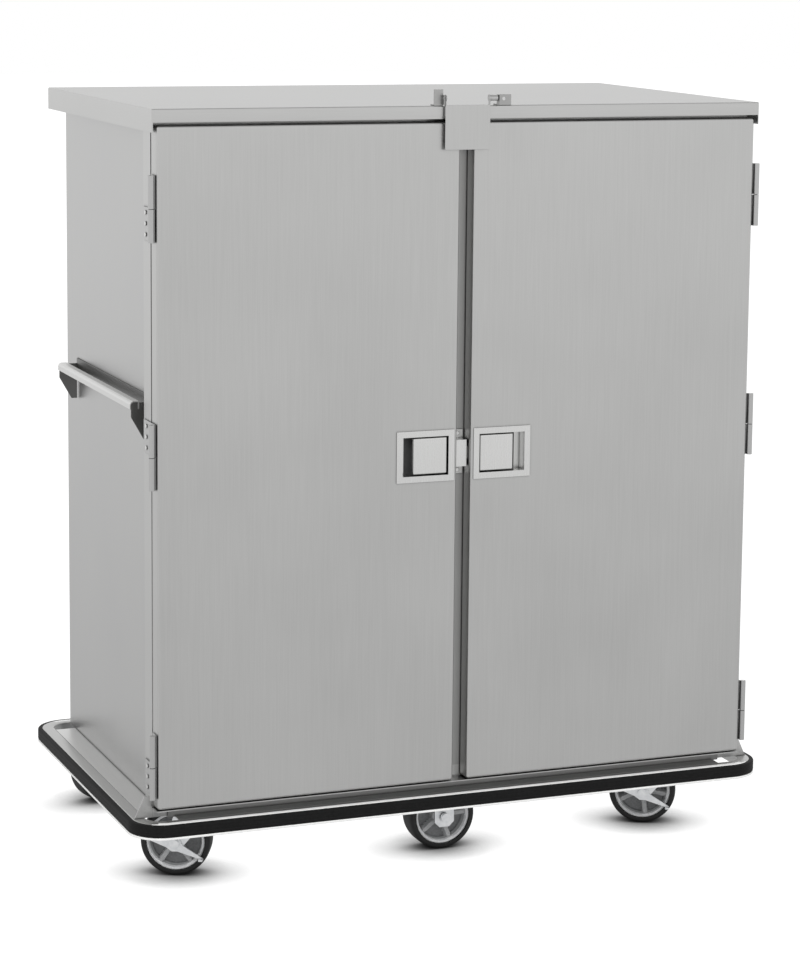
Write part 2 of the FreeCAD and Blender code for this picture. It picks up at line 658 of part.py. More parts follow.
def make_transport_flap():
    """A plate hung over both doors' top edges from two ears on the cover."""
    front = door_face - d.cover_lead - d.flap_standoff
    axis_z = cover_top + d.flap_axis_up
    axis_y = front + d.flap_sheet
    eye = d.flap_eye_diameter
    plate_top = cover_top + d.flap_lift
    plate = box((-d.flap_left, front - d.flap_sheet, cover_top - d.flap_drop),
                (d.flap_right, front, plate_top))
    pieces = [plate]
    bore = d.flap_pin_diameter + d.running_clearance * 2
    lug_low = cover_top - d.flap_drop / 4
    for x in (-d.flap_left, d.flap_right - d.flap_sheet):
        pieces.append(box((x, front - d.flap_sheet, lug_low),
                          (x + d.flap_sheet, axis_y + d.flap_sheet, axis_z)))
        pieces.append(rod((x, axis_y, axis_z), ALONG_X, eye, d.flap_sheet))
    pieces.append(rod((d.flap_right - d.flap_sheet, axis_y, axis_z), ALONG_X,
                      d.barrel_diameter, d.barrel_long + d.flap_sheet))
    bores = rod((-d.flap_left, axis_y, axis_z), ALONG_X, bore,
                d.flap_left + d.flap_right + d.barrel_long)
    node("transport_flap", cut(fuse(*pieces), bores))
    ear_front = door_face - d.cover_lead
    wing_front = axis_y - eye / 2
    left_wing = -d.flap_left - d.ear_gap - d.ear_sheet
    right_wing = d.flap_right + d.barrel_long + d.ear_gap

    def ear(near, far, wing, tall):
        upright = box((near, ear_front, cover_top), (far, ear_front + d.ear_sheet,
                                                     cover_top + tall))
        foot = box((near, ear_front, cover_top),
                   (far, ear_front + d.ear_foot_deep, cover_top + d.ear_sheet))
        side = box((wing, wing_front, cover_top + d.ear_sheet),
                   (wing + d.ear_sheet, ear_front + d.ear_sheet, cover_top + d.ear_right_tall))
        return fuse(upright, foot, side)

    left = ear(left_wing + d.ear_sheet - d.ear_left_wide, left_wing + d.ear_sheet, left_wing,
               d.ear_left_tall)
    right = ear(right_wing, right_wing + d.ear_right_wide, right_wing, d.ear_right_tall)
    padlock = rod((right_wing + d.ear_right_wide / 2, ear_front, axis_z - d.ear_sheet), ALONG_Y,
                  d.padlock_hole_diameter, d.ear_sheet)
    left_bore = rod((left_wing, axis_y, axis_z), ALONG_X, d.flap_pin_diameter, d.ear_sheet)
    right_bore = rod((right_wing, axis_y, axis_z), ALONG_X, d.flap_pin_diameter, d.ear_sheet)
    node("transport_ears", group([cut(left, left_bore), cut(right, right_bore, padlock)]))
    left_pin = rod((left_wing, axis_y, axis_z), ALONG_X, d.flap_pin_diameter,
                   d.ear_sheet + d.ear_gap + d.flap_sheet)
    right_pin = rod((d.flap_right - d.flap_sheet, axis_y, axis_z), ALONG_X, d.flap_pin_diameter,
                    d.flap_sheet + d.barrel_long + d.ear_gap + d.ear_sheet)
    node("transport_pins", group([left_pin, right_pin]))


def caster_places():
    """(name, x, y, yaw) of the four corner casters, seen from the front."""
    return [("front_left", -kingpin_x, kingpin_front, d.front_yaw),
            ("front_right", kingpin_x, kingpin_front, d.front_yaw),
            ("rear_left", -kingpin_x, kingpin_back, d.rear_yaw),
            ("rear_right", kingpin_x, kingpin_back, d.rear_yaw)]


def rigid_places():
    """(name, x, y) of the two casters that don't swivel."""
    return [("front_middle", ZERO, kingpin_front), ("rear_middle", ZERO, kingpin_back)]


def bolt_places():
    half = d.plate_bolt_pitch / 2
    spots = [(x, y) for _, x, y, _ in caster_places()] + [(x, y) for _, x, y in rigid_places()]
    return [(x + half * a, y + half * b) for x, y in spots for a in (-1, 1) for b in (-1, 1)]


def axle_bolt(x):
    """The wheel's bolt: a round head, the shaft and a nut, along Y."""
    leg = d.hub_wide / 2 + d.hub_side_gap + d.fork_sheet
    near = -leg - d.pedal_side_gap * 2 - d.pedal_thick - d.axle_nut_thick
    head = rod((x, near, hub_up), ALONG_Y, d.axle_nut_diameter, d.axle_nut_thick)
    shaft = rod((x, near, hub_up), ALONG_Y, d.axle_diameter, leg - near + d.axle_nut_thick)
    nut = hexagon((x, leg, hub_up), ALONG_Y, d.axle_nut_diameter, d.axle_nut_thick)
    return fuse(head, shaft, nut)


def swivel_fork():
    """A pressed fork about a kingpin at the origin, its wheel trailing towards -X."""
    leg_in = d.hub_wide / 2 + d.hub_side_gap
    leg_out = leg_in + d.fork_sheet
    half = d.fork_crown_half
    axle_x = -d.trail
    round_end = d.fork_hub_radius
    profile = [(half, crown_top), (half, crown_top - d.fork_sheet * 3),
               (axle_x + round_end, d.fork_knee), (axle_x, hub_up - round_end),
               (axle_x - round_end, d.fork_knee), (axle_x - round_end, hub_up + round_end),
               (-half - d.fork_sheet, crown_top)]
    legs = [prism("XZ_Plane", profile, leg_in, leg_out),
            prism("XZ_Plane", profile, -leg_out, -leg_in)]
    ends = [rod((axle_x, y, hub_up), ALONG_Y, round_end * 2, d.fork_sheet)
            for y in (leg_in, -leg_out)]
    crown = box((-half - d.fork_sheet, -leg_out, crown_low), (half, leg_out, crown_top))
    pin = rod((ZERO, ZERO, crown_low), ALONG_Z, d.kingpin_diameter,
              plate_low - crown_low)
    bore = rod((axle_x, -leg_out, hub_up), ALONG_Y, d.axle_diameter, leg_out * 2)
    return group([cut(fuse(crown, pin, *(legs + ends)), bore), axle_bolt(axle_x)])


def rigid_fork():
    """A fixed fork: two plain legs with cut lower corners under a top plate."""
    leg_in = d.hub_wide / 2 + d.hub_side_gap
    leg_out = leg_in + d.fork_sheet
    half = d.rigid_leg_wide / 2
    corner = d.rigid_leg_chamfer
    foot = hub_up - half
    profile = [(-half, plate_low), (-half, foot + corner), (-half + corner, foot),
               (half - corner, foot), (half, foot + corner), (half, plate_low)]
    legs = [prism("XZ_Plane", profile, leg_in, leg_out),
            prism("XZ_Plane", profile, -leg_out, -leg_in)]
    bore = rod((ZERO, -leg_out, hub_up), ALONG_Y, d.axle_diameter, leg_out * 2)
    return group([cut(fuse(top_plate(), *legs), bore), axle_bolt(ZERO)])


def top_plate():
    half = plate_wide / 2
    pitch = d.plate_bolt_pitch / 2
    plate = box((-half, -half, plate_low), (half, half, pan_low))
    holes = [rod((pitch * a, pitch * b, plate_low), ALONG_Z, d.bolt_diameter, d.plate_thick)
             for a in (-1, 1) for b in (-1, 1)]
    return cut(plate, *holes)


def swivel_plate():
    """The fixed top plate and the raceway that the kingpin turns in."""
    raceway = rod((ZERO, ZERO, raceway_low), ALONG_Z, d.raceway_diameter, d.raceway_tall)
    bore = rod((ZERO, ZERO, raceway_low), ALONG_Z,
               d.kingpin_diameter + d.running_clearance * 2, d.raceway_tall)
    return fuse(top_plate(), cut(raceway, bore))


def wheel_core():
    """Hub, web, rim and spokes, turned about Y."""
    rim = hub_up - d.tyre_thick
    rim_in = rim - d.rim_thick
    bore = d.axle_diameter / 2 + d.running_clearance
    hub = d.hub_diameter / 2
    a = d.hub_wide / 2
    b = d.web_thick / 2
    c = d.rim_wide / 2
    body = turned([(bore, -a), (hub, -a), (hub, -b), (rim_in, -b), (rim_in, -c), (rim, -c),
                   (rim, c), (rim_in, c), (rim_in, b), (hub, b), (hub, a), (bore, a)], hub_up)
    spokes = []
    count = int(d.spoke_count.number)
    for index in range(count):
        spoke = box((-d.spoke_wide / 2, -d.spoke_deep / 2, hub - d.sheet),
                    (d.spoke_wide / 2, d.spoke_deep / 2, rim_in + d.sheet))
        turn = FreeCAD.Rotation(FreeCAD.Vector(0, 1, 0), 360.0 * index / count)
        arm = doc.addObject("Part::Compound", "arm")
        arm.Links = [spoke]
        place(arm, (ZERO, ZERO, hub_up), turn)
        spokes.append(arm)
    return fuse(body, *spokes)


def wheel_tyre():
    rim = hub_up - d.tyre_thick
    half = d.tread_wide / 2
    shoulder = d.tyre_thick / 3
    flank = d.rim_wide / 2
    return turned([(rim, -flank), (rim + shoulder, -half), (hub_up - shoulder, -half),
                   (hub_up, -half + shoulder), (hub_up, half - shoulder),
                   (hub_up - shoulder, half), (rim + shoulder, half), (rim, flank)], hub_up)


def brake_pedal():
    """A pointed lever on the axle in front of the fork, its lower tip bent to a tread."""
    leg = d.hub_wide / 2 + d.hub_side_gap + d.fork_sheet
    back = -leg - d.pedal_side_gap
    front = back - d.pedal_thick
    x = -d.trail
    arm = d.pedal_reach
    eye = d.pedal_eye_diameter / 2
    lever = prism("XZ_Plane", [(x - arm, hub_up + eye / 2), (x - eye, hub_up - eye / 2),
                               (x - eye / 3, hub_up - eye), (x + eye / 3, hub_up - eye),
                               (x + arm, hub_up - eye * 2), (x + arm, hub_up - eye * 2 + eye / 4),
                               (x + eye, hub_up - eye / 4), (x + eye / 3, hub_up + eye),
                               (x - eye / 3, hub_up + eye), (x - eye, hub_up + eye / 2 + eye / 4),
                               (x - arm, hub_up + eye / 2 + eye / 4)],
                  front, back)
    tread = box((x + arm - eye / 2, front - d.pedal_tread_deep, hub_up - eye * 2),
                (x + arm, back, hub_up - eye * 2 + eye / 4))
    bore = rod((x, front, hub_up), ALONG_Y, d.axle_diameter + d.running_clearance * 2,
               d.pedal_thick)
    return cut(fuse(lever, tread), bore)


def copies(label, source, places, shift):
    """Placed copies of a piece made at the origin: one node each, or one group."""
    shapes = []
    for x, y, yaw in places:
        turn = FreeCAD.Rotation(FreeCAD.Vector(0, 0, 1), yaw.number)
        away = turn.multVec(FreeCAD.Vector(shift.number, 0, 0))
        shape = source.Shape.copy()
        spot = FreeCAD.Vector(x.number, y.number, 0) + away
        shape.Placement = FreeCAD.Placement(spot, turn).multiply(shape.Placement)
        shapes.append(shape)
    item = doc.addObject("Part::Feature", label)
    item.Shape = shapes[0] if len(shapes) == 1 else Part.makeCompound(shapes)
    return node(label, item)


def make_casters():
    fork = swivel_fork()
    fixed = rigid_fork()
    plate = swivel_plate()
    core = wheel_core()
    tyre = wheel_tyre()
    pedal = brake_pedal()
    head = hexagon((ZERO, ZERO, plate_low - d.bolt_head_tall), ALONG_Z, d.bolt_head_wide,
                   d.bolt_head_tall)
    shank = rod((ZERO, ZERO, plate_low), ALONG_Z, d.bolt_diameter, d.plate_thick + d.sheet)
    bolt = fuse(head, shank)
    doc.recompute()
    for name, x, y, yaw in caster_places():
        spot = [(x, y, yaw)]
        copies("swivel_fork_" + name, fork, spot, ZERO)
        copies("wheel_core_" + name, core, spot, -d.trail)
        copies("tyre_" + name, tyre, spot, -d.trail)
        if name.startswith("front"):
            copies("brake_pedal_" + name, pedal, spot, ZERO)
    for name, x, y in rigid_places():
        copies("wheel_core_" + name, core, [(x, y, ZERO)], ZERO)
        copies("tyre_" + name, tyre, [(x, y, ZERO)], ZERO)
    copies("rigid_forks", fixed, [(x, y, ZERO) for _, x, y in rigid_places()], ZERO)
    copies("swivel_plates", plate, [(x, y, ZERO) for _, x, y, _ in caster_places()], ZERO)
    copies("caster_bolts", bolt, [(x, y, ZERO) for x, y in bolt_places()], ZERO)


make_base()
make_bumper()
make_cabinet()
make_tray_slides()
make_handle()
make_hinges()
make_screws()
make_door()
make_strike()
make_transport_flap()
make_casters()
doc.recompute()

failed = [item.Label for item in doc.Objects if set(item.State) & {"Invalid", "Error"}]
if failed:
    raise RuntimeError("objects that failed: " + ", ".join(failed))
for item in nodes:
    if item.Shape.isNull() or not item.Shape.isValid():
        raise RuntimeError("no valid shape: " + item.Label)

os.makedirs("parts", exist_ok=True)
for item in nodes:
    item.Shape.exportStep("parts/%s.step" % item.Label)
print(len(nodes), "nodes,", sum(len(item.Shape.Solids) for item in nodes), "solids")
print("heights:", " ".join("%s %.2f" % (name, size.number) for name, size in (
    ("pan_low", pan_low), ("deck_top", deck_top), ("door_low", door_low),
    ("door_top", door_top), ("cover_top", cover_top))))
print("depths: half %.2f, door face %.2f, frame front %.2f, back %.2f" % (
    bumper_half_deep.number, door_face.number, frame_front.number, cabinet_back.number))
print("widths: post %.2f, panel %.2f, rim %.2f, bumper %.2f, kingpin %.2f at %.2f and %.2f" % (
    post_outer.number, panel_outer.number, rim_inner.number, bumper_half_wide.number,
    kingpin_x.number, kingpin_front.number, kingpin_back.number))
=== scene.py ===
import json
import math

import bmesh
import bpy
import numpy as np
from mathutils import Matrix, Vector


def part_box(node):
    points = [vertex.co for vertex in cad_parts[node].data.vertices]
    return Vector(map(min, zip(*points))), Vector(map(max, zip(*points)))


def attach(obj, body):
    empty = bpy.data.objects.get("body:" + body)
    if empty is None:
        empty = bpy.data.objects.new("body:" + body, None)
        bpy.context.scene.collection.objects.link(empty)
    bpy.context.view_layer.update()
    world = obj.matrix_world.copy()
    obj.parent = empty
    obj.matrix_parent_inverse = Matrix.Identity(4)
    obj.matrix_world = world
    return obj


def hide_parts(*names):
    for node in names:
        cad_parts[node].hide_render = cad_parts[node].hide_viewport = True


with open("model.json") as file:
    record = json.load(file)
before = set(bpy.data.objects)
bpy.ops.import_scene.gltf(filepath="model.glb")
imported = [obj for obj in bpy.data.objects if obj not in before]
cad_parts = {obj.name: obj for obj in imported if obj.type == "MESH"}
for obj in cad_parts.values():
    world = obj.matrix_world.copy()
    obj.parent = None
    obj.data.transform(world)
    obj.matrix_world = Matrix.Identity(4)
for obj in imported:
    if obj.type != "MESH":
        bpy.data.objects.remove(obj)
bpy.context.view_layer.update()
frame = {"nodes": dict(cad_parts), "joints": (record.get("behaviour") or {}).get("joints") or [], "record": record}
mm = 0.001
slotOf = {row["node"]: row["material_slot"] for row in frame["record"]["subparts"]}
bodyOf = {node: body for body, nodes in frame["record"]["behaviour"]["bodies"].items()
          for node in nodes}
jointOf = {joint["name"]: joint for joint in frame["joints"]}
print("frame loaded:", len(slotOf), "nodes")


def hexColour(text):  # an sRGB hex value as linear light
    srgb = np.array([int(text[k:k + 2], 16) for k in (0, 2, 4)]) / 255
    linear = np.where(srgb <= 0.04045, srgb / 12.92, ((srgb + 0.055) / 1.055) ** 2.4)
    return (*linear.tolist(), 1.0)


def addNode(tree, kind, inputs=None, **settings):
    # adds a node; settings are its own properties, inputs are values or links for its sockets
    node = tree.nodes.new("ShaderNode" + kind)
    for key, value in settings.items():
        setattr(node, key, value)
    for key, value in (inputs or {}).items():
        if isinstance(value, bpy.types.NodeSocket):
            tree.links.new(value, node.inputs[key])
        else:
            node.inputs[key].default_value = value
    return node


def newMaterial(name):
    material = bpy.data.materials.new(name)
    material.use_nodes = True
    tree = material.node_tree
    tree.nodes.clear()
    return material, tree, addNode(tree, "TexCoord").outputs["Object"]


def closeMaterial(tree, **sockets):
    shader = addNode(tree, "BsdfPrincipled", {k.replace("_", " "): v for k, v in sockets.items()})
    tree.links.new(shader.outputs[0], addNode(tree, "OutputMaterial").inputs["Surface"])


# where the noise meets its two tones, reliefs in millimetres, and the rays of the painted crease shade
shade = {"streakLow": 0.3, "streakHigh": 0.7, "streakDeep": 0.05, "creaseShadeRays": 8,
         "grainLow": 0.35, "grainHigh": 0.65, "grainDeep": 0.1, "grainGloss": 0.06}


def brushedSteel(name, look):
    # stainless sheet rubbed one way: long faint streaks, a slow cloudiness, a wide soft gloss, and
    # painted shade: a darker colour, by occlusion, where it meets another sheet
    material, tree, place = newMaterial(name)
    across = 1 / (look["streak"] * mm)
    stretch = [across / look["stretch"] if axis == look["grain"] else across for axis in "xyz"]
    lines = addNode(tree, "Mapping", {"Vector": place, "Scale": stretch})
    streaks = addNode(tree, "TexNoise", {"Vector": lines.outputs[0], "Scale": 1.0, "Detail": 3.0})
    clouds = addNode(tree, "TexNoise", {"Vector": place, "Scale": 1 / (look["cloud"] * mm),
                                        "Detail": 2.0})
    blend = addNode(tree, "Mix", {"Factor": look["cloudShare"], "A": streaks.outputs["Fac"],
                                  "B": clouds.outputs["Fac"]}, data_type="FLOAT")
    tone = addNode(tree, "ValToRGB", {"Fac": blend.outputs[0]})
    tone.color_ramp.elements[0].position = shade["streakLow"]
    tone.color_ramp.elements[1].position = shade["streakHigh"]
    tone.color_ramp.elements[0].color = hexColour(look["dark"])
    tone.color_ramp.elements[1].color = hexColour(look["light"])
    gloss = addNode(tree, "MapRange", {"Value": blend.outputs[0],
                                       "From Min": shade["streakLow"],
                                       "From Max": shade["streakHigh"],
                                       "To Min": look["rough"] - look["roughSpan"],
                                       "To Max": look["rough"] + look["roughSpan"]})
    relief = addNode(tree, "Bump", {"Height": streaks.outputs["Fac"], "Strength": look["relief"],
                                    "Distance": shade["streakDeep"] * mm})
    # painted shade: the colour darkens by occlusion in creases and where sheets meet
    crease = addNode(tree, "AmbientOcclusion", {"Color": tone.outputs[0],
                                                "Distance": look["crease"] * mm},
                     samples=shade["creaseShadeRays"])
    closeMaterial(tree, Base_Color=crease.outputs["Color"], Metallic=1.0,
                  Roughness=gloss.outputs[0], Normal=relief.outputs[0])
    return material


def mottled(name, look):
    # rubber, moulded plastic or plated metal: two close tones in fine grains, a slight texture
    material, tree, place = newMaterial(name)
    grains = addNode(tree, "TexNoise", {"Vector": place, "Scale": 1 / (look["grain"] * mm),
                                        "Detail": 4.0})
    tone = addNode(tree, "ValToRGB", {"Fac": grains.outputs["Fac"]})
    tone.color_ramp.elements[0].position = shade["grainLow"]
    tone.color_ramp.elements[1].position = shade["grainHigh"]
    tone.color_ramp.elements[0].color = hexColour(look["dark"])
    tone.color_ramp.elements[1].color = hexColour(look["light"])
    gloss = addNode(tree, "MapRange", {"Value": grains.outputs["Fac"],
                                       "To Min": look["rough"] - shade["grainGloss"],
                                       "To Max": look["rough"] + shade["grainGloss"]})
    relief = addNode(tree, "Bump", {"Height": grains.outputs["Fac"], "Strength": look["relief"],
                                    "Distance": shade["grainDeep"] * mm})
    closeMaterial(tree, Base_Color=tone.outputs[0], Metallic=look["metal"],
                  Roughness=gloss.outputs[0], Normal=relief.outputs[0],
                  Specular_IOR_Level=look.get("shine", 0.5))
    return material


# brushed stainless sheet, grit 180: the real lines are 0.1 mm, drawn wider here so they show
sheetLook = {"light": "c8c8c7", "dark": "bfbfbe", "rough": 0.36, "roughSpan": 0.03, "streak": 1.6,
             "stretch": 70, "cloud": 260, "cloudShare": 0.5, "relief": 0.05, "grain": "z",
             "crease": 5.0}
steelUpright = brushedSteel("brushedStainlessUpright", sheetLook)
steelAcross = brushedSteel("brushedStainlessAcross", {**sheetLook, "grain": "x"})
steelAlong = brushedSteel("brushedStainlessLengthwise", {**sheetLook, "light": "dededd",
                                                         "dark": "d6d6d5", "grain": "y"})
# the cabinet's sides, hinges and end decks have a tone of their own
steelSide = brushedSteel("fineStainlessUpright", {**sheetLook, "light": "c2c2c1", "dark": "bababa"})
steelPlain = brushedSteel("millStainless", {**sheetLook, "light": "b4b4b3", "dark": "a9a9a8",
                                            "rough": 0.42, "relief": 0.03, "cloudShare": 0.7})
# painted shade: the post is a darker steel for the shade in the narrow gap between the doors
steelDull = brushedSteel("stainlessPostShade", {**sheetLook, "light": "b4b4b3", "dark": "a8a8a7",
                                             "rough": 0.4, "cloudShare": 0.6})
# painted shade: the floor pan is a darker steel for the shade under the doors along its front
steelScuffed = brushedSteel("stainlessPanShade", {**sheetLook, "light": "9a9a99", "dark": "8e8e8d",
                                                 "rough": 0.44, "grain": "x"})
# hot rolled plate, pickled and oiled: a dark grey metal
steelDark = brushedSteel("pickledSteel", {**sheetLook, "light": "80807f", "dark": "727271",
                                          "rough": 0.42, "grain": "y", "cloudShare": 0.6})
# a light grey aluminium with a broad gloss: painted highlight on the bumper channel's nose band at its ends and on
# its hem
blastedAlloy = mottled("paintedHighlightAluminium", {"light": "f3f3f2", "dark": "ebebea", "rough": 0.5,
                                            "grain": 6, "relief": 0.06, "metal": 0.1})
steelBright = brushedSteel("polishedStainless", {**sheetLook, "light": "e4e4e3", "dark": "dcdcdb",
                                                 "rough": 0.27, "streak": 0.9})
# zinc plate on pressed steel: bright and a little cloudy
zincPlate = mottled("brightZincPlate", {"light": "f0f1f2", "dark": "e2e4e6", "rough": 0.34,
                                        "grain": 9, "relief": 0.05, "metal": 1.0})
# powder coat on steel: dark and satin, with a fine orange peel; it also paints the shade in the latch cups
darkCoat = mottled("darkPowderCoatAndShade", {"light": "4c4c4c", "dark": "3e3e3e", "rough": 0.45,
                                      "grain": 2, "relief": 0.12, "metal": 0.0})
# extruded bumper rubber: black with a dull sheen
bumperRubber = mottled("extrudedRubber", {"light": "191919", "dark": "131313", "rough": 0.56,
                                          "grain": 5, "relief": 0.1, "metal": 0.0,
                                          "shine": 0.12})
sealRubber = mottled("sealRubber", {"light": "3a3a3a", "dark": "303030", "rough": 0.6,
                                    "grain": 3, "relief": 0.1, "metal": 0.0})
# moulded tyre rubber: near black and matt
tyreRubber = mottled("mouldedTyreRubber", {"light": "131313", "dark": "0e0e0e", "rough": 0.6,
                                           "grain": 2.5, "relief": 0.15, "metal": 0.0})
# moulded wheel core: pale glass-filled nylon with a satin skin
corePlastic = mottled("mouldedNylon", {"light": "f4f5f6", "dark": "ecedee", "rough": 0.42,
                                       "grain": 4, "relief": 0.08, "metal": 0.0})
# the same nylon on the spokes and in the pockets, rougher, and darker as painted shade in the core's recess,
# darkest in the pockets
spokePlastic = mottled("nylonSpokeShade", {"light": "bcbdbe", "dark": "b0b1b2", "rough": 0.55,
                                     "grain": 4, "relief": 0.08, "metal": 0.0})
pocketPlastic = mottled("nylonPocketShade", {"light": "8a8b8c", "dark": "7c7d7e", "rough": 0.6,
                                       "grain": 4, "relief": 0.08, "metal": 0.0})
finishOf = {"brushed_steel": steelUpright, "interior_steel": steelPlain,
            "bright_steel": steelBright, "zinc": zincPlate, "bumper_rubber": bumperRubber,
            "gasket_rubber": sealRubber, "tyre_rubber": tyreRubber, "dark_steel": darkCoat,
            "wheel_plastic": corePlastic}
ownFinish = {"end_decks": steelSide, "base_pan": steelScuffed,
             "centre_post": steelDull, "side_decks": steelAlong,
             "side_panel_left": steelSide, "side_panel_right": steelSide,
             "push_handle_left": steelAlong, "push_handle_right": steelAlong,
             "handle_brackets": steelDark, "transport_ears": steelPlain,
             "transport_flap": steelUpright, "hinge_cabinet_leaves": steelSide,
             "hinge_door_leaves_left": steelSide, "hinge_door_leaves_right": steelSide}
for node, item in frame["nodes"].items():
    item.data.materials.clear()
    item.data.materials.append(ownFinish.get(node, finishOf[slotOf[node]]))
print("materials made")


# every piece below is worked out in millimetres

def gridFaces(rows, columns, closeRows=False, closeColumns=False):
    # the four corners of each cell of a grid of points, wrapping round where it is closed
    r = np.arange(rows if closeRows else rows - 1)
    c = np.arange(columns if closeColumns else columns - 1)
    r, c = np.meshgrid(r, c, indexing="ij")
    nextR, nextC = (r + 1) % rows, (c + 1) % columns
    return np.stack([r * columns + c, nextR * columns + c, nextR * columns + nextC,
                     r * columns + nextC], -1)


def finishPiece(item, material, *nodes, angle=35):
    # smooth faces with crisp folds, the finish, and the body of the node it stands for
    item.data.polygons.foreach_set("use_smooth", np.ones(len(item.data.polygons), bool))
    item.data.set_sharp_from_angle(angle=math.radians(angle))
    item.data.materials.clear()
    item.data.materials.append(material)
    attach(item, bodyOf[nodes[0]])
    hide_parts(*nodes)
    return item


def addPiece(name, points, faces, material, *nodes, angle=35, wall=0.0):
    # a mesh from whole arrays, closed at its seams and poles, then given its wall
    mesh = bpy.data.meshes.new(name)
    mesh.from_pydata(np.asarray(points).reshape(-1, 3) * mm, [],
                     np.asarray(faces).reshape(-1, 4).tolist())
    edit = bmesh.new()
    edit.from_mesh(mesh)
    bmesh.ops.remove_doubles(edit, verts=edit.verts, dist=0.01 * mm)
    bmesh.ops.dissolve_degenerate(edit, edges=edit.edges, dist=0.001 * mm)
    bmesh.ops.recalc_face_normals(edit, faces=edit.faces)
    edit.to_mesh(mesh)
    edit.free()
    item = bpy.data.objects.new(name, mesh)
    bpy.context.scene.collection.objects.link(item)
    if wall:
        sheet = item.modifiers.new("wall", "SOLIDIFY")
        sheet.thickness = wall * mm
        sheet.offset = -1
        solid = item.evaluated_get(bpy.context.evaluated_depsgraph_get())
        item.data = bpy.data.meshes.new_from_object(solid)
        item.modifiers.clear()
    return finishPiece(item, material, *nodes, angle=angle)


easing = {"segments": 2, "sharpest": 32, "merge": 0.005, "flat": 0.5}


def roundEdges(item, width):
    bevel = item.modifiers.new("edges", "BEVEL")
    bevel.width = width * mm
    bevel.segments = easing["segments"]
    bevel.limit_method = "ANGLE"
    bevel.angle_limit = math.radians(easing["sharpest"])
    bevel.harden_normals = True


def softCopy(node, width):
    # a merged copy of a CAD solid whose edges are eased, as sheared and tumbled sheet has them
    mesh = frame["nodes"][node].data.copy()
    edit = bmesh.new()
    edit.from_mesh(mesh)
    bmesh.ops.remove_doubles(edit, verts=edit.verts, dist=easing["merge"] * mm)
    bmesh.ops.dissolve_limit(edit, angle_limit=math.radians(easing["flat"]), verts=edit.verts,
                             edges=edit.edges)
    edit.to_mesh(mesh)
    edit.free()
    item = bpy.data.objects.new("dressed_" + node, mesh)
    bpy.context.scene.collection.objects.link(item)
    roundEdges(item, width)
    return finishPiece(item, ownFinish.get(node, finishOf[slotOf[node]]), node)


def boxOf(node):  # lowest and highest corners of a CAD node, in millimetres
    low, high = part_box(node)
    return np.array(low) / mm, np.array(high) / mm


bumper = {"radius": 66.0, "cornerSteps": 16, "nose": 10.7, "tall": 25.6, "groove": 0.5,
          "grooveWide": 0.8, "roundShare": 0.16, "roundIn": 2.6, "flange": 21.7, "sheet": 2.0,
          "web": 17.7, "ease": 0.5, "hem": 2.6, "under": 0.8, "band": 9.0, "noseSteps": 64,
          "fullRound": 0.999, "lap": 0.2, "lead": 2.6, "lip": 0.9, "turnSteps": 9}


def ringAlongPlan(profile, half):
    # every corner's centre plus the corner radius, less the profile's inset, along the arc
    turn = np.linspace(0, np.pi / 2, bumper["cornerSteps"])
    turn = np.arange(4)[:, None] * np.pi / 2 + turn
    centre = np.array([[1, 1], [-1, 1], [-1, -1], [1, -1]]) * (half - bumper["radius"])
    way = np.stack([np.cos(turn), np.sin(turn)], -1)
    reach = bumper["radius"] - profile[:, 0]
    plan = centre[:, None, None] + reach[:, None] * way[:, :, None]
    height = np.broadcast_to(profile[:, 1], plan.shape[:-1])
    points = np.concatenate([plan, height[..., None]], -1).reshape(-1, len(profile), 3)
    return points, gridFaces(len(points), len(profile), True, True)


def makeBumper():
    high = boxOf("bumper_strip")[1]
    half = high[:2]
    top = high[2]
    foot = top - bumper["tall"]
    low, tall = foot + bumper["hem"], bumper["tall"] - bumper["hem"] - bumper["under"]
    # up the nose: round at both ends, with two grooves between ribs
    s = np.linspace(0, 1, bumper["noseSteps"])
    end = np.clip((np.abs(2 * s - 1) - 1 + 2 * bumper["roundShare"])
                  / (2 * bumper["roundShare"]), 0, 1)
    inset = bumper["roundIn"] * (1 - np.sqrt(1 - end ** 2 * bumper["fullRound"]))
    height = low + s * tall
    for third in (1, 2):
        middle = low + tall * third / 3
        inset = inset + bumper["groove"] * np.exp(-((height - middle) / bumper["grooveWide"]) ** 2)
    profile = np.stack([inset, height], -1)
    back = bumper["nose"] - bumper["lap"]
    profile = np.vstack([[[back, low]], profile, [[back, low + tall]]])
    addPiece("bumperStrip", *ringAlongPlan(profile, half), bumperRubber, "bumper_strip", angle=50)
    e, t, nose = bumper["ease"], bumper["sheet"], bumper["nose"]
    inner, web = nose + bumper["flange"], bumper["web"]
    # the flange's nose and the hem's lip are half rounds; its other corners are eased
    turn = np.linspace(0, np.pi, bumper["turnSteps"])
    lead = np.stack([nose + t / 2 - bumper["lead"] * np.sin(turn),
                     top - t / 2 - np.cos(turn) * t / 2], -1)
    lip, edge = low - bumper["lap"], bumper["lip"]
    hem = np.stack([edge - edge * np.cos(turn), lip - edge + edge * np.sin(turn)], -1)[::-1]
    profile = np.vstack([
        lead, [[nose + bumper["band"], top], [inner - e * 3, top], [inner - e, top - e * 0.6],
               [inner, top - e * 2], [inner, top - t], [web + t, top - t],
               [web + t, foot - t + e], [web + t - e, foot - t], [e * 3, foot - t],
               [e, foot - t + e * 0.4], [0, foot - t + e * 2]],
        hem[::-1], [[edge * 2, foot], [web, foot], [web, top - t]]])
    item = addPiece("bumperChannel", *ringAlongPlan(profile, half), steelAcross, "bumper_channel",
                    angle=40)
    item.data.materials.append(blastedAlloy)
    centre = centresOf(item) / mm
    edge = half - np.abs(centre[:, :2])  # painted highlight: the outer band of the nose at the front and back ends, and the hem, take the light alloy
    ends = (edge[:, 1] < nose + bumper["band"]) & (centre[:, 2] > top - t)
    pickFinish(item, ends | (centre[:, 2] < low))


